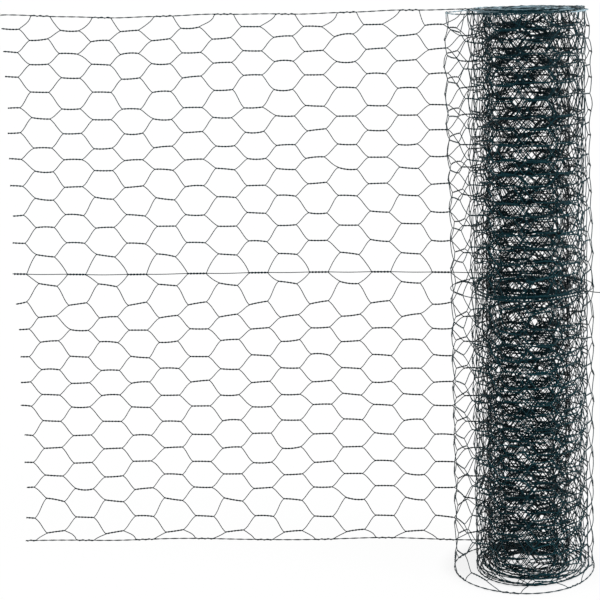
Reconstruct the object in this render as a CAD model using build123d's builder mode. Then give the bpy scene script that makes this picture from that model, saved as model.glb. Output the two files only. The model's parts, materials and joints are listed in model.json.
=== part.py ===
"""Part-unrolled roll of hexagonal wire netting, standing on its end.

One length of netting is wound tight about an open bore. Its last turn has sprung loose, and the
cut end stands out flat beside the roll. The origin is on the bore's axis at the floor, +Z is up
and the flat length runs towards -X.
"""

import os
from math import acos, atan2, degrees, hypot, pi

from build123d import *

# Netting: pairs of coated wire twisted together side by side, opening into hexagonal cells.
NETTING_WIDTH = 1000
WIRE_DIAMETER = 1.2
EDGE_WIRE = 2.4
TWIST_LENGTH = 34
DIAGONAL_RUN = 23
# Heights of the twists as shares of the netting's width, top to bottom. Columns alternate: one
# sort is twisted onto the top edge wire, the next onto the bottom one.
TOP_COLUMN_ROW_SHARES = (
    1.000, 0.956, 0.911, 0.861, 0.812, 0.758, 0.715, 0.664, 0.609, 0.556,
    0.501, 0.439, 0.392, 0.338, 0.288, 0.238, 0.185, 0.131, 0.082, 0.014,
)
BOTTOM_COLUMN_ROW_SHARES = (
    0.974, 0.931, 0.887, 0.830, 0.785, 0.735, 0.686, 0.633, 0.580, 0.521,
    0.464, 0.415, 0.363, 0.313, 0.266, 0.211, 0.157, 0.105, 0.048, 0.000,
)
LINE_WIRE_ROW = 9

# Wound roll: turns of netting about an open bore.
BORE_RADIUS = 38
TURNS = 18
TURN_PITCH = 3.7
TURN_GAP_DEPTH = 8

# Loose turn: most of a circle, off the roll's axis, closing in on the roll at its inner end.
LOOSE_RADIUS = 127
LOOSE_CENTRE_X = -13
LOOSE_CENTRE_Y = -7
CLOSING_RADIUS = 100
SEAT_CLEARANCE = 0.3
FOLD_OVERRUN = 0.6

# Flat length: whole columns from the roll to the cut, which leaves a stub of each last twist.
FLAT_COLUMNS = 16
CUT_STUB = 23
LEAD_IN = 35

WIRE_RADIUS = WIRE_DIAMETER / 2
HALF_TWIST = TWIST_LENGTH / 2
CELL_REACH = HALF_TWIST + DIAGONAL_RUN
COLUMN_PITCH = TWIST_LENGTH + DIAGONAL_RUN
WOUND_RADIUS = BORE_RADIUS + TURNS * TURN_PITCH
FLAT_LENGTH = CUT_STUB - HALF_TWIST + FLAT_COLUMNS * COLUMN_PITCH
FLAT_END_X = LOOSE_CENTRE_X - LEAD_IN
FLAT_Y = LOOSE_CENTRE_Y + LOOSE_RADIUS
CLOSING_CENTRE_X = LOOSE_CENTRE_X - LOOSE_RADIUS + CLOSING_RADIUS


def is_top_column(column):
    """Odd columns, counted from the cut end, are twisted onto the top edge wire."""
    return column % 2 == 1


def column_cells(column):
    """Outlines of one column's cells, along the wires' centre lines, as (along, height) points.

    Along is measured from the column's middle. Each outline is listed anticlockwise.
    """
    top_edge = NETTING_WIDTH - EDGE_WIRE + WIRE_RADIUS
    bottom_edge = EDGE_WIRE - WIRE_RADIUS
    own_shares, side_shares = TOP_COLUMN_ROW_SHARES, BOTTOM_COLUMN_ROW_SHARES
    if not is_top_column(column):
        own_shares, side_shares = side_shares, own_shares
    own = [share * NETTING_WIDTH for share in own_shares]
    sides = [share * NETTING_WIDTH for share in side_shares]
    ceilings = [height - WIRE_RADIUS for height in own]
    floors = [height + WIRE_RADIUS for height in own]
    if is_top_column(column):
        ceilings[0] = top_edge
        corners = sides
    else:
        floors[-1] = bottom_edge
        corners = sides[1:]

    cells = []
    for row, corner in enumerate(corners[: len(own) - 1]):
        ceiling = [(HALF_TWIST, ceilings[row]), (-HALF_TWIST, ceilings[row])]
        floor = [(-HALF_TWIST, floors[row + 1]), (HALF_TWIST, floors[row + 1])]
        left, right = (-CELL_REACH, corner), (CELL_REACH, corner)
        if is_top_column(column) and row == LINE_WIRE_ROW:
            cells.append([right] + ceiling + [left])
            cells.append([left] + floor + [right])
        else:
            cells.append(ceiling + [left] + floor + [right])
    if is_top_column(column):
        ceiling = [(HALF_TWIST, ceilings[-1]), (-HALF_TWIST, ceilings[-1])]
        cells.append(ceiling + [(-CELL_REACH, bottom_edge), (CELL_REACH, bottom_edge)])
    else:
        floor = [(-HALF_TWIST, floors[0]), (HALF_TWIST, floors[0])]
        cells.append(floor + [(CELL_REACH, top_edge), (-CELL_REACH, top_edge)])
    return cells


def mitre(before, here, after, margin):
    """Step from a corner to where its two sides meet when both move left by the margin."""
    normal_in = (here - before).normalized().rotate(Axis.Z, 90)
    normal_out = (after - here).normalized().rotate(Axis.Z, 90)
    return (normal_in + normal_out) * (margin / (1 + normal_in.dot(normal_out)))


def inset(points, margin):
    """Moves each side of a polygon, listed anticlockwise, inwards by the margin."""
    corners = [Vector(*point) for point in points]
    neighbours = zip(corners[-1:] + corners, corners, corners[1:] + corners[:1])
    return [here + mitre(before, here, after, margin) for before, here, after in neighbours]


def folded_wall(folds):
    """Plan of a wall one wire thick, mitred at its folds, its start flush with the flat length."""
    square_end = (folds[-1] - folds[-2]).normalized().rotate(Axis.Z, 90) * WIRE_RADIUS
    steps = [Vector(0, WIRE_RADIUS)]
    steps += [mitre(*corner, WIRE_RADIUS) for corner in zip(folds, folds[1:], folds[2:])]
    steps += [square_end]
    outer = [fold + step for fold, step in zip(folds, steps)]
    inner = [fold - step for fold, step in zip(folds, steps)]
    return outer + inner[::-1]


def column_centre(column):
    """Distance of a column's middle from the cut end, along the netting."""
    return CUT_STUB - HALF_TWIST + column * COLUMN_PITCH


def closing_end_angle():
    """Heading, clockwise from +Y, at which the closing arc's inner face meets the wound roll."""
    offset_length = hypot(CLOSING_CENTRE_X, LOOSE_CENTRE_Y)
    offset_heading = atan2(CLOSING_CENTRE_X, LOOSE_CENTRE_Y) + 2 * pi
    meeting_radius = WOUND_RADIUS + WIRE_RADIUS + SEAT_CLEARANCE
    share = (meeting_radius**2 - offset_length**2 - CLOSING_RADIUS**2) / (
        2 * CLOSING_RADIUS * offset_length
    )
    return offset_heading + acos(share)


CLOSING_SWEEP = closing_end_angle() - 3 * pi / 2

# Wound roll: turned about its bore, with the gaps between its turns cut into both ends.
with BuildPart() as wound_roll:
    with BuildSketch(Plane.XZ) as section:
        with Locations((BORE_RADIUS, 0)):
            Rectangle(WOUND_RADIUS - BORE_RADIUS, NETTING_WIDTH, align=(Align.MIN, Align.MIN))
        gap_width = TURN_PITCH - EDGE_WIRE
        first_gap = BORE_RADIUS + EDGE_WIRE + gap_width / 2
        gap_places = [
            (first_gap + turn * TURN_PITCH, end)
            for turn in range(TURNS - 1)
            for end in (0, NETTING_WIDTH)
        ]
        with Locations(*gap_places):
            Rectangle(gap_width, 2 * TURN_GAP_DEPTH, mode=Mode.SUBTRACT)
    revolve(axis=Axis.Z)

# Loose turn: one wire thick, from the end of the flat length round to the wound roll. It is folded
# at each column of twists, so each cell is cut in two halves through flat panels.
with BuildLine() as loose_path:
    Line((FLAT_END_X, FLAT_Y), (LOOSE_CENTRE_X, FLAT_Y))
    CenterArc((LOOSE_CENTRE_X, LOOSE_CENTRE_Y), LOOSE_RADIUS, 90, -270)
    CenterArc((CLOSING_CENTRE_X, LOOSE_CENTRE_Y), CLOSING_RADIUS, 180, -degrees(CLOSING_SWEEP))
loose_columns = round(loose_path.wire().length / COLUMN_PITCH)
fold_places = [column / loose_columns for column in range(loose_columns + 1)]
loose_folds = loose_path.wire().positions(fold_places)

with BuildPart() as loose_turn:
    with BuildSketch():
        Polygon(*folded_wall(loose_folds), align=None)
    extrude(amount=NETTING_WIDTH)
    for panel, (start, end) in enumerate(zip(loose_folds, loose_folds[1:])):
        heading = end - start
        stretch = heading.length / COLUMN_PITCH
        with BuildSketch(Plane(start, x_dir=heading, z_dir=heading.cross(Vector(0, 0, 1)))):
            cells = []
            for column, middle in ((panel, 0), (panel + 1, COLUMN_PITCH)):
                for outline in column_cells(FLAT_COLUMNS + column):
                    placed = [((middle + along) * stretch, height) for along, height in outline]
                    cells.append(
                        Polygon(*inset(placed, WIRE_RADIUS), align=None, mode=Mode.PRIVATE)
                    )
            add(cells)
            with Locations((-FOLD_OVERRUN, 0)):
                Rectangle(
                    heading.length + 2 * FOLD_OVERRUN,
                    NETTING_WIDTH,
                    align=(Align.MIN, Align.MIN),
                    mode=Mode.INTERSECT,
                )
        extrude(amount=WIRE_DIAMETER, both=True, mode=Mode.SUBTRACT)

# Flat length: one wire thick, from the cut end to where the loose turn begins.
with BuildPart() as flat_length:
    with BuildSketch(Plane.XZ.offset(-FLAT_Y)) as sheet:
        flat_start_x = FLAT_END_X - FLAT_LENGTH
        with Locations((flat_start_x, 0)):
            Rectangle(FLAT_LENGTH, NETTING_WIDTH, align=(Align.MIN, Align.MIN))
        cells = []
        for column in range(FLAT_COLUMNS + 1):
            middle_x = flat_start_x + column_centre(column)
            for outline in column_cells(column):
                placed = [(middle_x + along, height) for along, height in outline]
                cells.append(Polygon(*inset(placed, WIRE_RADIUS), align=None, mode=Mode.PRIVATE))
        add(cells, mode=Mode.SUBTRACT)
    extrude(amount=WIRE_RADIUS, both=True)

wound_roll.part.label = "wound_roll"
loose_turn.part.label = "loose_turn"
flat_length.part.label = "flat_length"

os.makedirs("parts", exist_ok=True)
export_step(wound_roll.part, "parts/wound_roll.step")
export_step(loose_turn.part, "parts/loose_turn.step")
export_step(flat_length.part, "parts/flat_length.step")
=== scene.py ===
import json
import math

import bpy
import numpy as np
from mathutils import Matrix, Vector


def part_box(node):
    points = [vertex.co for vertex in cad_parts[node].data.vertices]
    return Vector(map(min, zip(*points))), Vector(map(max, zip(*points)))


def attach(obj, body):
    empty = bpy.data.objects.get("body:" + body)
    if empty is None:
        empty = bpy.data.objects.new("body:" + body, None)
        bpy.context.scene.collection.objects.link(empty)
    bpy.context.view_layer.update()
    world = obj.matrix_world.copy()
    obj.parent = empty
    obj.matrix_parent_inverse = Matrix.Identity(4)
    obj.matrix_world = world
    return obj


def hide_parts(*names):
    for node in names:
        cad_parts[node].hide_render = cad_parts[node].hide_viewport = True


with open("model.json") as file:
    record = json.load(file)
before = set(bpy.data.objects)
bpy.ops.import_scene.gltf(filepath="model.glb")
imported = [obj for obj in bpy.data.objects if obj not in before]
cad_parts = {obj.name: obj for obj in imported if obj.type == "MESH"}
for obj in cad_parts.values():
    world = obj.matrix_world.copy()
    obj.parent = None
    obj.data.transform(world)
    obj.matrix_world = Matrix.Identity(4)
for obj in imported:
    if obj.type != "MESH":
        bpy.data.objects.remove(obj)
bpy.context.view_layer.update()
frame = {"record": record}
bpy.ops.object.select_all(action="DESELECT")

# Flat length of netting. Coated steel wires are twisted together in pairs by machine and drawn
# apart into hexagons. A rope of two wires is woven in along both edges and a line wire at mid
# height, and the end is cut through a row of twists, which leaves stubs with bare steel tips.
wire_radius = 0.00075
flat_wire_radius = 0.00083
edge_strand_radius = 0.0006
line_wire_radius = 0.00080
held_winding_radius = 0.0012
twist_length = 0.036
diagonal_run = 0.021
half_twist = twist_length / 2
column_pitch = twist_length + diagonal_run
cut_to_first_column = 0.006
flat_columns = 16

# Twist heights as shares of the netting's width, top to bottom. Even rows belong to the columns
# that hold the top edge rope, odd rows to the columns that hold the bottom one.
row_height_shares = np.array([
    1.000, 0.974, 0.956, 0.931, 0.911, 0.887, 0.861, 0.830, 0.812, 0.785,
    0.758, 0.735, 0.715, 0.686, 0.664, 0.633, 0.609, 0.580, 0.556, 0.521,
    0.501, 0.464, 0.439, 0.415, 0.392, 0.363, 0.338, 0.313, 0.288, 0.266,
    0.238, 0.211, 0.185, 0.157, 0.131, 0.105, 0.082, 0.048, 0.018, 0.000,
])
row_count = len(row_height_shares)
last_row = row_count - 1
line_row = 19
# Rows whose twists are wound round an edge rope or the line wire.
held_rows = [0, line_row, last_row]

# Plan of the whole length, seen from above: straight from the cut end, round the loose turn, in by
# a tighter arc to the roll, and round the wound turns to the bore.
flat_low, flat_high = (Vector(corner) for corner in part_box("flat_length"))
loose_low, loose_high = (Vector(corner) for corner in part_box("loose_turn"))
roll_low, roll_high = (Vector(corner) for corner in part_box("wound_roll"))
netting_width = flat_high.z - flat_low.z
flat_y = (flat_low.y + flat_high.y) / 2
flat_end = flat_high.x - flat_low.x
fold_swell = 0.0005
loose_radius = (loose_high.x - loose_low.x) / 2 + fold_swell
loose_x = (loose_low.x + loose_high.x) / 2
loose_y = (loose_low.y + loose_high.y) / 2
closing_radius = 0.100
closing_x = loose_x - loose_radius + closing_radius
roll_radius = (roll_high.x - roll_low.x) / 2
mounts = {mount["name"]: mount for mount in frame["record"]["mounts"]}
bore_radius = mounts["spindle_bore"]["dims"]["r_mm"] / 1000
three_quarters = 3 * math.pi / 2
full_turn = 2 * math.pi
plan_step = 0.001
wound_angle_step = 0.01
straight_points = 400
least_arc_points = 8
easing_points = 61

# Wound wall, from the bore at 0 to the outside at 1: a few slack turns, then two close bunches.
turn_numbers = [0.0, 0.33, 0.58, 0.83, 1.33, 1.58, 1.83, 2.33, 2.58, 2.83, 3.33, 3.58, 3.83,
                4.33, 4.58, 4.83, 5.33, 5.58, 5.83, 11.8, 13.2, 17.7, 18.6]
wall_shares = [1.0, 0.97, 0.99, 1.0, 0.945, 0.965, 0.935, 0.905, 0.945, 0.85, 0.87, 0.92, 0.76,
               0.82, 0.89, 0.68, 0.74, 0.83, 0.59, 0.45, 0.30, 0.19, 0.03]
# Slack turns are out of round, in waves given by their number in a turn and their size.
out_of_round_waves = ((0.37, 0.0012), (0.62, 0.0009), (2.02, 0.0018), (3.03, 0.0014))
first_slackness = 1.2
least_slackness = 0.25
turns_to_tighten = 6.0
turns_to_slacken = 0.3

draw = np.random.default_rng(20)


def closing_sweep():
    """Angle of the arc by which the loose turn closes in on the roll."""
    offset = math.hypot(closing_x, loose_y)
    share = (roll_radius**2 - offset**2 - closing_radius**2) / (2 * closing_radius * offset)
    return math.atan2(closing_x, loose_y) + full_turn + math.acos(share) - three_quarters


def arc_points(centre, radius, start, sweep):
    """Points of an arc walked clockwise, its angles measured clockwise from +Y."""
    count = max(least_arc_points, int(radius * sweep / plan_step))
    angles = start + np.linspace(0, sweep, count)
    return np.stack([centre[0] + radius * np.sin(angles), centre[1] + radius * np.cos(angles)], 1)


def wound_points(start):
    """The wound turns from the outside in, out of round where they are slack."""
    angles = np.arange(0, turn_numbers[-1] * full_turn, wound_angle_step)
    heading = math.atan2(start[0], start[1]) + angles
    turn = angles / full_turn
    radius = bore_radius + np.interp(turn, turn_numbers, wall_shares) * (roll_radius - bore_radius)
    slackness = np.clip(first_slackness - turn / turns_to_tighten, least_slackness, 1)
    slackness = slackness * np.clip(turn / turns_to_slacken, 0, 1)
    for waves_a_turn, size in out_of_round_waves:
        drift = draw.uniform(0, full_turn)
        radius = radius + size * slackness * np.sin(waves_a_turn * heading + drift)
    return np.stack([radius * np.sin(heading), radius * np.cos(heading)], 1)


straight = np.linspace((flat_low.x, flat_y), (loose_x, flat_y), straight_points)
circle = arc_points((loose_x, loose_y), loose_radius, 0, three_quarters)
closing = arc_points((closing_x, loose_y), closing_radius, three_quarters, closing_sweep())
wound = wound_points(closing[-1])
unwound = np.concatenate([straight, circle[1:], closing[1:]])
plan = np.concatenate([unwound, wound[1:]])
plan_length = np.concatenate([[0], np.cumsum(np.hypot(*np.diff(plan, axis=0).T))])
wound_from = plan_length[len(unwound) - 1]
even_length = np.arange(0, plan_length[-1], plan_step)
plan = np.stack([np.interp(even_length, plan_length, plan[:, axis]) for axis in (0, 1)], 1)
# The joins between the arcs are eased, as springy wire eases them.
ease = np.hanning(easing_points) / np.hanning(easing_points).sum()
ends_eased = (easing_points // 2, easing_points // 2)
padded = np.pad(plan, (ends_eased, (0, 0)), mode="reflect", reflect_type="odd")
plan = np.stack([np.convolve(padded[:, axis], ease, mode="valid") for axis in (0, 1)], 1)
plan_heading = np.gradient(plan, axis=0)
plan_heading /= np.linalg.norm(plan_heading, axis=1)[:, None]
plan_angle = np.unwrap(np.arctan2(plan_heading[:, 1], plan_heading[:, 0]))
plan_bend = -np.gradient(plan_angle, even_length)
turn_angle = np.unwrap(np.arctan2(plan[:, 0], plan[:, 1]))
column_count = int((even_length[-1] - cut_to_first_column) / column_pitch)

# Small unevenness of the weave, shared by the two wires of each twist.
shift_spread = 0.0009
rise_spread = 0.0008
sag_spread = 0.0009
lean_spread_degrees = 1.8
row_lean_spread_degrees = 1.2
top_twist_shift = 0.006
second_twist_shifts = (0.004, -0.006)
# Rows whose twists the machine left leaning, in degrees, the same all along the netting.
row_lean_degrees = {1: 2.0, 2: 6.0, 3: 3.0, 12: -2.0, 14: -2.0, 18: -8.0, 20: -7.0, 21: 5.0,
                    22: 6.0, 23: 3.0, 27: 2.0, 36: -11.0, 37: -3.0, 38: 8.0}
spare_columns = 2
weave_shape = (row_count, column_count + spare_columns)
twist_shift = draw.normal(0, shift_spread, weave_shape)
twist_shift[0] += top_twist_shift
twist_shift[1] += np.interp(np.arange(weave_shape[1]), [0, flat_columns], second_twist_shifts)
twist_rise = draw.normal(0, rise_spread, weave_shape)
twist_sag = draw.normal(0, sag_spread, weave_shape)
lean_degrees = draw.normal(0, lean_spread_degrees, weave_shape)
lean_degrees = lean_degrees + draw.normal(0, row_lean_spread_degrees, (row_count, 1))
twist_lean = np.radians(lean_degrees)
for row, degrees in row_lean_degrees.items():
    twist_lean[row] += math.radians(degrees)
for uneven in (twist_rise, twist_sag, twist_lean):
    uneven[held_rows] = 0
winding_radius = np.full(row_count, wire_radius)
winding_radius[held_rows] = held_winding_radius
edge_margin = held_winding_radius + flat_wire_radius
row_heights = np.clip(row_height_shares * netting_width, edge_margin, netting_width - edge_margin)

# Waves in which the netting bows: size, and radians for each metre along it and up it.
bowing_waves = ((0.0016, 7.1, 2.3), (0.0012, 17.0, -5.1), (0.0008, 31.0, 11.0))
wave_count = 8
wave_drift = draw.uniform(0, full_turn, wave_count)
bowing_drift = wave_drift[0:3]


def waves(kinds, drifts, along, up):
    """Sum of sine waves, each of its own kind and drift."""
    return sum(size * np.sin(along * run + up * rise + drift)
               for (size, run, rise), drift in zip(kinds, drifts))


# Lengths over which the flat length passes into the loose turn, and that into the wound turns.
loose_ease = 0.15
wound_ease = 0.5
# Shares at four places of a shape that sets in, holds and fades again.
in_and_out = [0, 1, 1, 0]
rightwards = np.array([1.0, 0.0, 0.0])
forwards = np.array([0.0, -1.0, 0.0])
upwards = np.array([0.0, 0.0, 1.0])


def free_share(along):
    """1 at the cut end of the flat length, falling to 0 where the loose turn begins."""
    return np.clip(1 - along / flat_end, 0, 1)


def wound_share(along):
    """0 up to where the wound turns begin, rising to 1 inside them."""
    return np.clip((along - wound_from) / wound_ease, 0, 1)


# The cut end is pushed along, leans and curls to the front, and its top corner is lifted.
cut_end_shift = 0.002
cut_end_lean = 0.027
cut_end_curl = 0.025
cut_end_lift = 0.0095
curl_power = 1.6
lift_power = 6
push_left_share = 0.1


def cut_end_shape(along, share, points, heading, outward):
    """Moves points of the netting as its cut end stands."""
    push = np.interp(along, [0, flat_end, flat_end + loose_ease], [1, push_left_share, 0])
    push = (cut_end_shift + cut_end_lean * (share - 0.5)) * push
    curl = cut_end_curl * free_share(along) ** curl_power
    lift = cut_end_lift * free_share(along) ** lift_power * share
    return points + push[..., None] * heading - curl[..., None] * outward + lift[..., None] * upwards


# The top edge waves from the cut end on, the bottom edge in the middle of the flat length. The rows
# between them settle where they come to the roll.
edge_wave_length = 0.36
edge_wave = 0.0016
edge_wave_crest = 0.03
edge_wave_gain = 3
foot_wave = 0.0035
foot_wave_crest = 0.34
foot_wave_places = [0, 0.2, 0.8, flat_end]
near_edge_power = 8
row_settle = 0.0047
settle_start_share = 0.65
settle_height_shares = [0.1, 0.2, 0.97, 1.0]


def row_shape(along, share, points, heading, outward):
    """Moves points of the netting as the edges and rows of the flat length lie."""
    top_wave = edge_wave * np.cos((along - edge_wave_crest) * full_turn / edge_wave_length)
    top_wave = top_wave * np.minimum(edge_wave_gain * free_share(along), 1)
    low_wave = 0.5 + 0.5 * np.cos((along - foot_wave_crest) * full_turn / edge_wave_length)
    low_wave = foot_wave * low_wave * np.interp(along, foot_wave_places, in_and_out)
    settle = np.interp(along, [settle_start_share * flat_end, flat_end], [0, 1])
    settle = settle * (1 - wound_share(along)) * np.interp(share, settle_height_shares, in_and_out)
    rise = top_wave * share**near_edge_power + low_wave * (1 - share) ** near_edge_power
    return points + (rise - row_settle * settle)[..., None] * upwards


# The shapes that the netting takes as it stands, all called alike. Each moves the points that lie in
# its own stretch, and the loose and the wound turns add theirs.
shapes = [cut_end_shape, row_shape]


def on_plan(along, line):
    """The plan's places or headings at lengths between its steps."""
    across = [np.interp(along, even_length, line[:, axis]) for axis in (0, 1)]
    return np.stack([*across, np.zeros_like(along)], -1)


def on_netting(along, height, out):
    """Points of the netting in space, with the outward direction there."""
    share = height / netting_width
    heading = on_plan(along, plan_heading)
    outward = np.cross(upwards, heading)
    out = out + waves(bowing_waves, bowing_drift, along, height)
    points = on_plan(along, plan) + height[..., None] * upwards + out[..., None] * outward
    past_cut_end = np.minimum(along, 0)
    points = points + past_cut_end[..., None] * heading
    for shape in shapes:
        points = shape(along, share, points, heading, outward)
    return points, outward


def wire_tubes(paths, outward, sides, radius, crevice=None):
    """Wires along rows of points: their points, quads, end faces and crevice values."""
    tangent = np.gradient(paths, axis=1)
    tangent /= np.linalg.norm(tangent, axis=2)[..., None]
    across = np.cross(tangent, outward)
    across /= np.linalg.norm(across, axis=2)[..., None]
    up = np.cross(across, tangent)
    turn = np.arange(sides) * full_turn / sides
    ring = np.cos(turn)[:, None] * up[:, :, None] + np.sin(turn)[:, None] * across[:, :, None]
    points = paths[:, :, None] + radius * ring
    count, length = paths.shape[:2]
    index = np.arange(count * length * sides).reshape(count, length, sides)
    after = np.roll(index, -1, axis=2)
    quads = np.stack([index[:, :-1], index[:, 1:], after[:, 1:], after[:, :-1]], -1).reshape(-1, 4)
    ends = np.concatenate([index[:, 0], index[:, -1, ::-1]])
    shelter = np.zeros((count, length, sides))
    if crevice is not None:
        shelter = np.einsum("pnsk,pnk->pns", ring, crevice)
    return points.reshape(-1, 3), quads, ends, shelter.reshape(-1)


# Diagonals: most run nearly straight, and those at a held row turn steep there by a share drawn
# for each. They are hardly steep where they leave such a row, and more where they come to one.
level_share = 0.25
held_chord_share = 0.4
least_steepness = 0.2
bow_spread = 0.0009
leaving_edge = 0.3
leaving_line_above = 0.15
leaving_line_below = 0.0
arriving_edge = 1.0
arriving_line_above = 0.8
arriving_line_below = 0.1


def diagonal_links(start, end, held_start, held_end, steepening, points):
    """Single wires from twist to twist: nearly straight, but steep at a held row."""
    chord = end - start
    span = np.linalg.norm(chord, axis=-1, keepdims=True)
    level = np.array([1.0, 0.0]) * span
    upright = np.stack([np.zeros(chord.shape[:-1]), np.sign(chord[..., 1])], -1) * span
    steepness = draw.uniform(least_steepness, 1.0, chord.shape[:-1] + (2,)) * steepening
    easy = (1 - level_share) * chord + level_share * level
    held_leave = held_chord_share * chord + steepness[..., :1] * upright
    held_arrive = held_chord_share * chord + steepness[..., 1:] * upright
    leave = np.where(held_start[..., None], held_leave, easy)
    arrive = np.where(held_end[..., None], held_arrive, easy)
    share = np.linspace(0, 1, points + 2)[1:-1, None]
    link = ((2 * share**3 - 3 * share**2 + 1) * start[:, :, None]
            + (share**3 - 2 * share**2 + share) * leave[:, :, None]
            + (3 * share**2 - 2 * share**3) * end[:, :, None]
            + (share**3 - share**2) * arrive[:, :, None])
    bow = draw.normal(0, bow_spread, chord.shape)[:, :, None] * np.sin(math.pi * share)
    link[..., 1] += bow[..., 0]
    return link, bow[..., 1]


# Twists are stiff and cut inside the curve of their turn. Stubs of the cut ones are longer towards
# the top, and longest at the top edge itself.
twist_stiffness = 0.35
foot_stub = 0.016
stub_growth = 0.011
top_stub_growth = 0.010
top_stub_power = 20
stub_unevenness = 0.003


def netting_wire_paths(first, last, half_turns, twist_points, diagonal_points):
    """The netting wires from column first up to column last, each a row of points."""
    wires = np.arange(last_row)[:, None]
    columns = np.arange(first, last + 1)[None, :]
    top_column = columns % 2 == 1
    rows = np.where((wires % 2 == 0) == top_column, wires, wires + 1)
    lane = np.where(rows == wires, -1.0, 1.0)
    reach = np.linspace(-half_twist, half_twist, twist_points)
    along_twist = np.broadcast_to(reach, rows.shape + (twist_points,)).copy()
    if first == 0:
        stub = foot_stub + stub_growth * row_height_shares
        stub = stub + top_stub_growth * row_height_shares**top_stub_power
        stub = stub + stub_unevenness * draw.uniform(-1, 1, row_count)
        starts = half_twist - stub[rows[:, 0]]
        spread = np.linspace(0, 1, twist_points)
        along_twist[:, 0] = starts[:, None] + spread * (half_twist - starts[:, None])
    angle = math.pi * half_turns * (along_twist / twist_length + 0.5)
    angle = angle + np.where(lane > 0, 0, math.pi)[..., None]
    winding = winding_radius[rows][..., None]
    centre = cut_to_first_column + columns * column_pitch + twist_shift[rows, columns]
    along = centre[..., None] + along_twist
    crown = half_twist**2 - along_twist**2
    height = (row_heights[rows] + twist_rise[rows, columns])[..., None]
    height = height + np.tan(twist_lean[rows, columns])[..., None] * along_twist
    height = height + twist_sag[rows, columns][..., None] * crown / half_twist**2
    height = height + winding * np.cos(angle)
    bend = np.interp(centre, even_length, plan_bend)[..., None]
    out = winding * np.sin(angle) - twist_stiffness * bend * crown
    inward = np.stack([-np.sin(angle), -np.cos(angle)], -1)

    start = np.stack([along[:, :-1, -1], height[:, :-1, -1]], -1)
    end = np.stack([along[:, 1:, 0], height[:, 1:, 0]], -1)
    held = np.isin(rows, held_rows)
    at_line = rows == line_row
    above_line = wires < line_row
    leaving_line = np.where(above_line, leaving_line_above, leaving_line_below)
    arriving_line = np.where(above_line, arriving_line_above, arriving_line_below)
    leaving = np.where(at_line, leaving_line, leaving_edge)[:, :-1]
    arriving = np.where(at_line, arriving_line, arriving_edge)[:, 1:]
    steepening = np.stack([leaving, arriving], -1)
    link, link_out = diagonal_links(start, end, held[:, :-1], held[:, 1:], steepening,
                                    diagonal_points)

    along_all = np.concatenate([along[:, :-1], link[..., 0]], 2).reshape(last_row, -1)
    height_all = np.concatenate([height[:, :-1], link[..., 1]], 2).reshape(last_row, -1)
    out_all = np.concatenate([out[:, :-1], link_out], 2).reshape(last_row, -1)
    flat_side = np.zeros(link.shape[:3] + (2,))
    facing = np.concatenate([inward[:, :-1], flat_side], 2).reshape(last_row, -1, 2)
    along_all = np.concatenate([along_all, along[:, -1, :1]], 1)
    height_all = np.concatenate([height_all, height[:, -1, :1]], 1)
    out_all = np.concatenate([out_all, out[:, -1, :1]], 1)
    facing = np.concatenate([facing, inward[:, -1, :1]], 1)
    return along_all, height_all, out_all, facing


# Straight wires: two strands of the top edge rope, the line wire, two strands of the bottom rope.
# The ends of these wires at the cut lie askew, from the foot to the top.
strand_rows = [0, 0, line_row, last_row, last_row]
strand_radii = np.array([edge_strand_radius, edge_strand_radius, line_wire_radius,
                         edge_strand_radius, edge_strand_radius])
strand_windings = strand_radii * np.array([1, 1, 0, 1, 1])
strand_angles = np.array([0, 1, 0, 0, 1]) * math.pi
strand_sway_drifts = np.array([0, 0, 2, 0, 0])
edge_rope_lay = 0.036
strand_sway = 0.0004
strand_sway_wave = 54.0
foot_strand_start = 0.0035
top_strand_start = -0.0080


def straight_wire_paths(first, last, spacing):
    """The two-wire ropes of both edges and the line wire, over the same columns."""
    height = row_heights[strand_rows][:, None]
    start = np.full(len(strand_rows), cut_to_first_column + first * column_pitch - half_twist)
    if first == 0:
        askew = [foot_strand_start, top_strand_start]
        start = np.interp(height[:, 0] / netting_width, [0, 1], askew)
    end = cut_to_first_column + last * column_pitch - half_twist
    count = int((end - start[0]) / spacing) + 2
    along = np.linspace(start, np.full(len(strand_rows), end), count, axis=1)
    winding = strand_windings[:, None]
    angle = along * full_turn / edge_rope_lay + strand_angles[:, None]
    sway = strand_sway * np.sin(along * strand_sway_wave + strand_sway_drifts[:, None])
    sway = sway * (height > edge_margin)
    return along, height + sway + winding * np.cos(angle), winding * np.sin(angle)


# Each piece of netting has its own painted light level below the line wire and above it: the lower
# it is, the deeper the painted shade on its coat.
light_level_height_shares = [0.42, 0.58]


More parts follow.
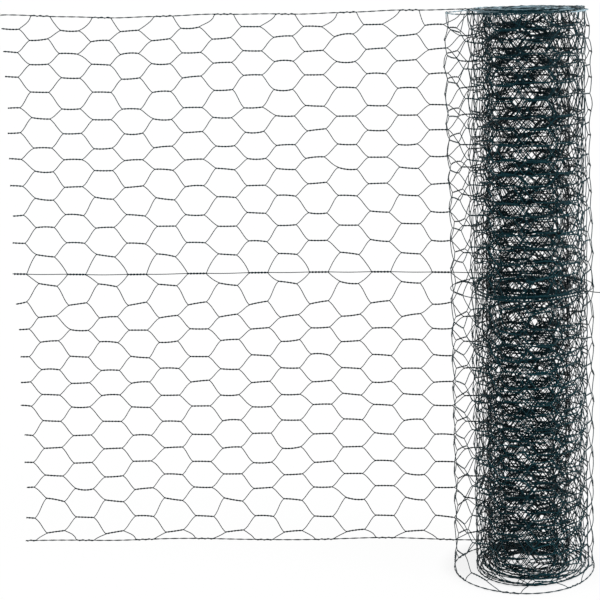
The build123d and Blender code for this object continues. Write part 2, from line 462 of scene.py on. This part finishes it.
def netting_piece(name, first, last, detail, painted_light_level, highlighting=None, extra=()):
    """One stretch of netting as a single mesh of closed wires, riding on the object."""
    sides = detail["sides"]
    along, height, out, facing = netting_wire_paths(
        first, last, detail["half_turns"], detail["twist_points"], detail["diagonal_points"])
    paths, outward = on_netting(along, height, out)
    crevice = facing[..., :1] * outward + facing[..., 1:] * upwards
    bundles = [(along, wire_tubes(paths, outward, sides, detail["radius"], crevice))]
    along, height, out = straight_wire_paths(first, last, detail["strand_spacing"])
    paths, outward = on_netting(along, height, out)
    strands = wire_tubes(paths, outward, sides, strand_radii[:, None, None, None])
    bundles += [(along, strands), *extra]

    points, lengths, faces, steel, shelter = [], [], [], [], []
    base = 0
    for along, (bundle_points, quads, ends, bundle_shelter) in bundles:
        points.append(bundle_points)
        lengths.append(np.repeat(along, len(bundle_points) // along.size))
        faces.extend((quads + base).tolist())
        steel.extend([0] * len(quads))
        faces.extend((ends + base).tolist())
        steel.extend([1] * len(ends))
        shelter.append(bundle_shelter)
        base += len(bundle_points)
    points = np.concatenate(points)
    painted_light_values = np.interp(points[:, 2] / netting_width, light_level_height_shares, painted_light_level)
    if highlighting is not None:
        painted_light_values = np.maximum(painted_light_values, highlighting(points, np.concatenate(lengths)))

    mesh = bpy.data.meshes.new(name)
    mesh.from_pydata(points.tolist(), [], faces)
    mesh.attributes.new("painted_light_level", "FLOAT", "POINT").data.foreach_set("value", painted_light_values)
    shelter = np.concatenate(shelter)
    mesh.attributes.new("crevice", "FLOAT", "POINT").data.foreach_set("value", shelter)
    mesh.materials.append(coated_wire)
    mesh.materials.append(cut_steel)
    mesh.polygons.foreach_set("material_index", steel)
    mesh.polygons.foreach_set("use_smooth", [index == 0 for index in steel])
    mesh.update()
    piece = bpy.data.objects.new(name, mesh)
    bpy.context.scene.collection.objects.link(piece)
    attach(piece, "root")
    return piece


def screen_colour(red, green, blue):
    """A colour picked on screen, 0 to 255, as the shader's linear colour."""
    channels = []
    for value in (red, green, blue):
        value /= 255
        channels.append(value / 12.92 if value <= 0.04045 else ((value + 0.055) / 1.055) ** 2.4)
    return (*channels, 1.0)


def new_finish(name):
    """A new material, with its nodes, links and shader at hand."""
    material = bpy.data.materials.new(name)
    material.use_nodes = True
    nodes, links = material.node_tree.nodes, material.node_tree.links
    return material, nodes, links, nodes["Principled BSDF"]


def mottle(nodes, links, scale, detail, roughness):
    """Noise that stays in place on the piece."""
    place = nodes.new("ShaderNodeTexCoord")
    noise = nodes.new("ShaderNodeTexNoise")
    noise.inputs["Scale"].default_value = scale
    noise.inputs["Detail"].default_value = detail
    noise.inputs["Roughness"].default_value = roughness
    links.new(place.outputs["Object"], noise.inputs["Vector"])
    return noise.outputs["Fac"]


def shade_between(nodes, links, value, low, low_colour, high, high_colour):
    """A colour that runs from one to another as a value runs from low to high."""
    ramp = nodes.new("ShaderNodeValToRGB")
    stops = ((low, low_colour), (high, high_colour))
    for element, (position, colour) in zip(ramp.color_ramp.elements, stops):
        element.position = position
        element.color = colour
    links.new(value, ramp.inputs["Fac"])
    return ramp.outputs["Color"]


def spread_value(nodes, links, value, old_range, new_range, manner="LINEAR"):
    """A value taken from one range to another and kept inside it."""
    spread = nodes.new("ShaderNodeMapRange")
    spread.interpolation_type = manner
    spread.inputs["From Min"].default_value = old_range[0]
    spread.inputs["From Max"].default_value = old_range[1]
    spread.inputs["To Min"].default_value = new_range[0]
    spread.inputs["To Max"].default_value = new_range[1]
    links.new(value, spread.inputs["Value"])
    return spread.outputs["Result"]


def laid_over(nodes, links, under, colour, amount):
    """One colour laid over another by an amount from 0 to 1."""
    layer = nodes.new("ShaderNodeMix")
    layer.data_type = "RGBA"
    layer.inputs["B"].default_value = colour
    links.new(amount, layer.inputs["Factor"])
    links.new(under, layer.inputs["A"])
    return layer.outputs["Result"]


def wire_value(nodes, name):
    """A value that the wires' mesh carries at its points."""
    carried = nodes.new("ShaderNodeAttribute")
    carried.attribute_name = name
    return carried.outputs["Fac"]


# Plastic coat, extruded over the wire: dark blue-green and semi-gloss. It drifts a little in colour.
# Its crowns are lighter with rubbed wear and painted highlight, the crevices of its twists darker
# with dirt and painted shade, and its light level paints shade or a pale highlight over it.
dark_coat = screen_colour(7, 28, 35)
pale_coat = screen_colour(15, 54, 62)
rubbed_and_highlit_coat = screen_colour(50, 100, 100)
dirt_and_shade_coat = screen_colour(2, 10, 15)
painted_shade_coat = screen_colour(0, 7, 14)
painted_highlight_coat = screen_colour(162, 189, 200)
coat_sheen = screen_colour(180, 235, 245)
coated_wire, nodes, links, coat = new_finish("coated_wire")
drift = mottle(nodes, links, scale=9.0, detail=4.0, roughness=0.5)
scuff = mottle(nodes, links, scale=240.0, detail=6.0, roughness=0.7)
shelter = wire_value(nodes, "crevice")
painted_light = wire_value(nodes, "painted_light_level")
# Lighter where the fine noise is high and away from the crevices: rubbed wear and painted highlight.
crown = nodes.new("ShaderNodeMath")
crown.operation = "MULTIPLY_ADD"
crown.inputs[1].default_value = -0.10
links.new(shelter, crown.inputs[0])
links.new(scuff, crown.inputs[2])
rubbed_and_highlight = spread_value(nodes, links, crown.outputs["Value"], (0.58, 0.82), (0.0, 0.55))
# Darker on the side of each wire that faces its partner in a twist: dirt and painted shade.
dirt_and_shade = spread_value(nodes, links, shelter, (0.15, 0.95), (0.0, 0.75))
# A low light level paints deep shade over the coat, a high one a pale highlight.
painted_shade_amount = spread_value(nodes, links, painted_light, (0.0, 0.5), (0.85, 0.0))
painted_highlight_amount = spread_value(nodes, links, painted_light, (0.5, 1.0), (0.0, 0.8))
colour = shade_between(nodes, links, drift, 0.32, dark_coat, 0.70, pale_coat)
colour = laid_over(nodes, links, colour, rubbed_and_highlit_coat, rubbed_and_highlight)
colour = laid_over(nodes, links, colour, dirt_and_shade_coat, dirt_and_shade)
colour = laid_over(nodes, links, colour, painted_shade_coat, painted_shade_amount)
colour = laid_over(nodes, links, colour, painted_highlight_coat, painted_highlight_amount)
links.new(colour, coat.inputs["Base Color"])
gloss = spread_value(nodes, links, scuff, (0.25, 0.75), (0.24, 0.42))
links.new(gloss, coat.inputs["Roughness"])
skin = nodes.new("ShaderNodeBump")
skin.inputs["Strength"].default_value = 0.25
skin.inputs["Distance"].default_value = 0.0001
links.new(scuff, skin.inputs["Height"])
links.new(skin.outputs["Normal"], coat.inputs["Normal"])
coat.inputs["Specular IOR Level"].default_value = 0.12
coat.inputs["Specular Tint"].default_value = coat_sheen

# Steel bared by the cutters at the ends of the wires: dull grey, with a little rust.
bare_steel = screen_colour(150, 152, 152)
rusty_steel = screen_colour(112, 82, 62)
cut_steel, nodes, links, steel = new_finish("cut_steel")
stain = mottle(nodes, links, scale=900.0, detail=2.0, roughness=0.5)
rust = shade_between(nodes, links, stain, 0.45, bare_steel, 0.72, rusty_steel)
links.new(rust, steel.inputs["Base Color"])
steel.inputs["Metallic"].default_value = 0.9
steel.inputs["Roughness"].default_value = 0.42

# How finely the wires are drawn: points are counted in one twist and in one diagonal, and the
# spacing is that of the points along the edge ropes and the line wire.
fine_wire = {"half_turns": 6, "twist_points": 19, "diagonal_points": 5, "sides": 6,
             "strand_spacing": 0.005, "radius": flat_wire_radius}
# The flat length is painted in shade below the line wire, and less so above it.
flat_piece = netting_piece("flat_netting", 0, flat_columns, fine_wire, (0.0, 0.25))
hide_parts("flat_length")

# Loose turn. The same netting carries on round the roll, sprung open and free of the turns inside
# it, a little tighter at the top, and closes in on them at the back.
before_winding = 0.05
into_winding = 0.10
loose_places = [flat_end, flat_end + loose_ease, wound_from - before_winding, wound_from + into_winding]
swell_height_shares = [0, 0.5, 0.75, 0.93, 1.0]
swells = [0.0005, -0.003, -0.003, 0, -0.006]
sway_height_shares = [0, 0.12, 0.3, 0.6, 0.75]
sways = [-0.0012, -0.0012, 0.0005, 0.002, -0.0022]
foot_flare = 0.011
foot_flare_height = 0.12


def loose_shape(along, share, points, heading, outward):
    """Moves points of the loose turn, which swells, sways and is flared in front at its foot."""
    loose_share = np.interp(along, loose_places, in_and_out)[..., None]
    facing_front = np.clip(-heading[..., 0], 0, 1)
    flare = foot_flare * facing_front**2 * np.exp(-points[..., 2] / foot_flare_height)
    swell = np.interp(share, swell_height_shares, swells) + flare
    sway = np.interp(share, sway_height_shares, sways)
    return points + loose_share * (swell[..., None] * outward + sway[..., None] * rightwards)


# Painted highlight in pale streaks along the lit rim of the roll, all but its very front.
rim_height_shares = [0.98, 0.996]
rim_front_places = [-0.106, -0.088]
rim_front_share = 0.1
rim_highlight_level = 0.6
rim_highlight_streaking = 0.4
streak_sharpness = 2.2
streak_waves = ((1.0, 4.3, 0.0), (0.8, 61.0, 0.0))


def rim_highlight(points, lengths):
    """Painted highlight on the rim at points of a piece, from their places and their lengths along the
    netting.
    """
    streak = waves(streak_waves, wave_drift, lengths, 0.0)
    rim = np.interp(points[:, 2] / netting_width, rim_height_shares, [0, 1])
    rim = rim * np.interp(points[:, 1], rim_front_places, [rim_front_share, 1])
    return rim * (rim_highlight_level + rim_highlight_streaking * np.tanh(streak_sharpness * streak))


shapes.append(loose_shape)
loose_wire = {"half_turns": 6, "twist_points": 17, "diagonal_points": 4, "sides": 6,
              "strand_spacing": 0.006, "radius": wire_radius}
loose_last = int((wound_from - cut_to_first_column) / column_pitch)
# The loose turn is painted in a little shade.
loose_piece = netting_piece("loose_netting", flat_columns, loose_last, loose_wire, (0.45, 0.45),
                            rim_highlight)
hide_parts("loose_turn")

# Wound turns. The rest of the length is rolled up by hand, slack outside and close at the bore,
# and nothing but its own wire holds it. One end of the line wire sticks out at the right.
stray_turn_waves = ((0.0026, 1.04, 9.0), (0.0020, 2.07, -14.0))
stray_turn_drift = wave_drift[3:5]
stray_length_waves = ((0.0014, 38.3, 17.0),)
stray_length_drift = wave_drift[5:6]
rope_hold_height = 0.06
row_sag_shares = [0, 0.1, 0.3, 0.45, 0.52, 0.6, 0.67, 0.79, 0.9, 0.97, 1.0]
row_sags = [0, 0.003, 0.007, 0.006, 0.006, 0.012, 0.014, 0.0125, 0.009, 0.0045, 0]


def row_wander(along, height):
    """How far the rows stray and sag, in waves by the angle round the roll and by the length."""
    free = np.clip(np.minimum(height, netting_width - height) / rope_hold_height, 0, 1)
    angle = np.interp(along, even_length, turn_angle)
    stray = waves(stray_turn_waves, stray_turn_drift, angle, height)
    stray = stray + waves(stray_length_waves, stray_length_drift, along, height)
    return free * stray - np.interp(height / netting_width, row_sag_shares, row_sags)


# Slips of the turns: size, share of the foot's slip, and radians for each metre of length.
turn_slips = ((0.0017, 1.0, 2.9), (0.0008, 0.6, 13.7))
slip_drift = wave_drift[6:8]
foot_slip = 0.0045
foot_slip_height = 0.09
length_to_slip = 2.5
least_slip_share = 0.15


def turn_slip(along, height):
    """How far a turn has slipped up past its neighbours, more at the foot than at the top."""
    depth = np.clip((along - wound_from) / length_to_slip, least_slip_share, 1)
    foot = foot_slip * depth * np.exp(-height / foot_slip_height)
    return sum((size + foot_share * foot) * (1 + np.sin(along * run + drift))
               for (size, foot_share, run), drift in zip(turn_slips, slip_drift))


# The turns come forward at the foot, and their core leans, from the bore out to the slack turns.
foot_forward = 0.008
foot_forward_power = 3
core_top = np.array([0.003, 0.0, 0.0])
core_foot = np.array([-0.008, -0.010, 0.0])
core_skin = 0.001
core_wall = 0.015
core_radius = 0.085
core_radii = [bore_radius + core_skin, bore_radius + core_wall, core_radius, roll_radius]


def wound_shape(along, share, points, heading, outward):
    """Moves points of the wound turns as they sag, slip and lean."""
    height = share * netting_width
    rise = row_wander(along, height) + turn_slip(along, height)
    forward = foot_forward * (1 - share) ** foot_forward_power
    from_axis = np.linalg.norm(on_plan(along, plan), axis=-1)
    core_share = np.interp(from_axis, core_radii, in_and_out)[..., None]
    lean = core_share * (share[..., None] * core_top + (1 - share)[..., None] * core_foot)
    move = rise[..., None] * upwards + forward[..., None] * forwards + lean
    return points + wound_share(along)[..., None] * move


shapes.append(wound_shape)

# End of the line wire at the right: a curve from the roll's side to a cut tip.
spur_reach = 0.036
spur_forward = 0.012
spur_drop = 0.020
spur_rise = 0.004
spur_bend = 0.030
spur_points = 14
spur_sides = 6
spur_root = math.radians(66.0)
root_side = Vector((math.sin(spur_root), math.cos(spur_root), 0.0))
root_heading = Vector((math.cos(spur_root), -math.sin(spur_root), 0.0))
spur_height = Vector((0.0, 0.0, row_heights[line_row] - spur_drop))
spur_start = root_side * roll_radius + spur_height
spur_tip = Vector((roll_radius + spur_reach, -spur_forward, spur_rise)) + spur_height
spur_bends = [spur_start, spur_start + root_heading * spur_bend,
              spur_tip - Vector((spur_bend, 0.0, 0.0)), spur_tip]
step = np.linspace(0, 1, spur_points)[:, None]
spur_weights = [(1 - step)**3, 3 * step * (1 - step)**2, 3 * step**2 * (1 - step), step**3]
spur_path = sum(weight * np.array(bend) for weight, bend in zip(spur_weights, spur_bends))
spur_up = np.broadcast_to(upwards, spur_path.shape)
spur = wire_tubes(spur_path[None], spur_up[None], spur_sides, line_wire_radius)
spur_bundle = (np.zeros(spur_points), spur)

outer_wire = {"half_turns": 4, "twist_points": 10, "diagonal_points": 3, "sides": 6,
              "strand_spacing": 0.006, "radius": wire_radius}
outer_columns = 48
outer_pieces = 3
outer_last = loose_last + outer_columns
outer_breaks = np.linspace(loose_last, outer_last, outer_pieces + 1).astype(int)
for number, (first, last) in enumerate(zip(outer_breaks[:-1], outer_breaks[1:])):
    extra = [spur_bundle] if number == 0 else []
    piece = netting_piece(f"outer_turns_{number + 1}", first, last, outer_wire, (0.5, 0.5),
                          rim_highlight, extra)
    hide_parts("wound_roll")
inner_wire = {"half_turns": 4, "twist_points": 6, "diagonal_points": 2, "sides": 4,
              "strand_spacing": 0.008, "radius": wire_radius}
inner_pieces = 2
inner_breaks = np.linspace(outer_last, column_count, inner_pieces + 1).astype(int)
# The inner turns are painted in deep shade, as they lie inside the roll.
for number, (first, last) in enumerate(zip(inner_breaks[:-1], inner_breaks[1:])):
    piece = netting_piece(f"inner_turns_{number + 1}", first, last, inner_wire, (0.08, 0.08),
                          rim_highlight)
    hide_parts("wound_roll")

# Floor: a wide matt white sheet that the netting stands on. Most of its white is for the camera
# alone, a little less so round the roll, where the rest keeps the shadow.
floor_size = 80.0
floor_drop = 0.0005
shaded_radius = 0.13
clear_radius = 0.18
shaded_white_share = 0.80
clear_white_share = 0.97
bpy.ops.mesh.primitive_plane_add(size=floor_size, location=(0.0, 0.0, -floor_drop))
floor = bpy.context.object
floor.name = "floor"
white, nodes, links, sheet = new_finish("floor_white")
sheet.inputs["Base Color"].default_value = (0.95, 0.95, 0.95, 1.0)
sheet.inputs["Specular IOR Level"].default_value = 0.0
sheet.inputs["Roughness"].default_value = 0.9


def seen_directly(nodes, links):
    """1 for the camera and for what it sees in gloss or through glass, otherwise 0."""
    path = nodes.new("ShaderNodeLightPath")
    either = nodes.new("ShaderNodeMath")
    either.operation = "MAXIMUM"
    links.new(path.outputs["Is Camera Ray"], either.inputs[0])
    links.new(path.outputs["Is Glossy Ray"], either.inputs[1])
    any_of_three = nodes.new("ShaderNodeMath")
    any_of_three.operation = "MAXIMUM"
    links.new(either.outputs["Value"], any_of_three.inputs[0])
    links.new(path.outputs["Is Transmission Ray"], any_of_three.inputs[1])
    return any_of_three.outputs["Value"]


plain_white = nodes.new("ShaderNodeEmission")
plain_white.inputs["Color"].default_value = (1.0, 1.0, 1.0, 1.0)
plain_white.inputs["Strength"].default_value = 1.0
floor_place = nodes.new("ShaderNodeTexCoord")
from_roll = nodes.new("ShaderNodeVectorMath")
from_roll.operation = "LENGTH"
links.new(floor_place.outputs["Object"], from_roll.inputs[0])
whitening = spread_value(nodes, links, from_roll.outputs["Value"], (shaded_radius, clear_radius),
                         (shaded_white_share, clear_white_share), "SMOOTHSTEP")
white_share = nodes.new("ShaderNodeMath")
white_share.operation = "MULTIPLY"
links.new(seen_directly(nodes, links), white_share.inputs[0])
links.new(whitening, white_share.inputs[1])
floor_mix = nodes.new("ShaderNodeMixShader")
links.new(white_share.outputs["Value"], floor_mix.inputs["Fac"])
links.new(sheet.outputs["BSDF"], floor_mix.inputs[1])
links.new(plain_white.outputs["Emission"], floor_mix.inputs[2])
links.new(floor_mix.outputs["Shader"], nodes["Material Output"].inputs["Surface"])
floor.data.materials.append(white)

# Light: a soft white room, which the camera sees as plain white. A soft light comes from the right,
# a little in front, and a broad one from overhead.
world = bpy.data.worlds.new("white_room")
bpy.context.scene.world = world
world.use_nodes = True
nodes, links = world.node_tree.nodes, world.node_tree.links
room = nodes["Background"]
room.inputs["Color"].default_value = (1.0, 1.0, 1.0, 1.0)
room.inputs["Strength"].default_value = 0.30
seen = nodes.new("ShaderNodeBackground")
seen.inputs["Color"].default_value = (1.0, 1.0, 1.0, 1.0)
seen.inputs["Strength"].default_value = 1.0
room_mix = nodes.new("ShaderNodeMixShader")
links.new(seen_directly(nodes, links), room_mix.inputs["Fac"])
links.new(room.outputs["Background"], room_mix.inputs[1])
links.new(seen.outputs["Background"], room_mix.inputs[2])
links.new(room_mix.outputs["Shader"], nodes["World Output"].inputs["Surface"])

for name, share, spread, tilt, lean in (("side_light", 0.70, 30.0, 17.5, 57.0),
                                        ("top_light", 0.50, 75.0, 10.0, 5.0)):
    lamp = bpy.data.lights.new(name, "SUN")
    lamp.energy = share * math.pi
    lamp.angle = math.radians(spread)
    light = bpy.data.objects.new(name, lamp)
    bpy.context.scene.collection.objects.link(light)
    light.rotation_euler = (math.radians(tilt), math.radians(lean), 0.0)

# Camera, set back on a long lens and looking a little down and to the left, as in the photograph.
# Its shift puts the roll at the right of the picture.
camera_place = Vector((0.0449, -2.9543, 1.1204))
look_left = math.radians(6.18)
look_down = math.radians(9.52)
bank = math.radians(1.65)
camera = bpy.data.cameras.new("camera")
camera.sensor_width = 36.0
camera.lens = 102.15
camera.shift_x = -0.12
camera.shift_y = -0.12
camera.clip_end = 200.0
eye = bpy.data.objects.new("camera", camera)
bpy.context.scene.collection.objects.link(eye)
aim = Matrix.Rotation(look_left, 4, "Z") @ Matrix.Rotation(math.pi / 2 - look_down, 4, "X")
eye.matrix_world = Matrix.Translation(camera_place) @ aim @ Matrix.Rotation(-bank, 4, "Z")
bpy.context.scene.camera = eye
bpy.context.scene.view_settings.view_transform = "Standard"
